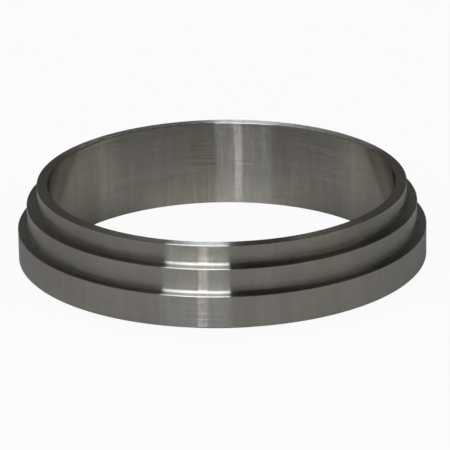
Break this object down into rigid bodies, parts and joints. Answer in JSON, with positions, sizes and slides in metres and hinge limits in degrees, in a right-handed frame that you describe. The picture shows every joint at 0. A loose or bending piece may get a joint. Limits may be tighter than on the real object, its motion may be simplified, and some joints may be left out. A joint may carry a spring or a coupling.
{
  "type": "bevel seat ferrule",
  "caption": "Turned steel ferrule ring with a stepped outside, a plain through bore and a bevelled seat, held by a union nut.",
  "frame": {"origin": "on the bore axis in the plane of the seat's end land, the lowest face", "axes": "+Z along the bore axis, from the bevelled seat to the tube's weld end"},
  "size_m": [0.0702, 0.0702, 0.0152],
  "materials": {
    "turned_steel": "satin turned stainless steel with fine circular tool marks"
  },
  "bodies": {
    "root": {"ferrule": "turned_steel"}
  },
  "joints": []
}
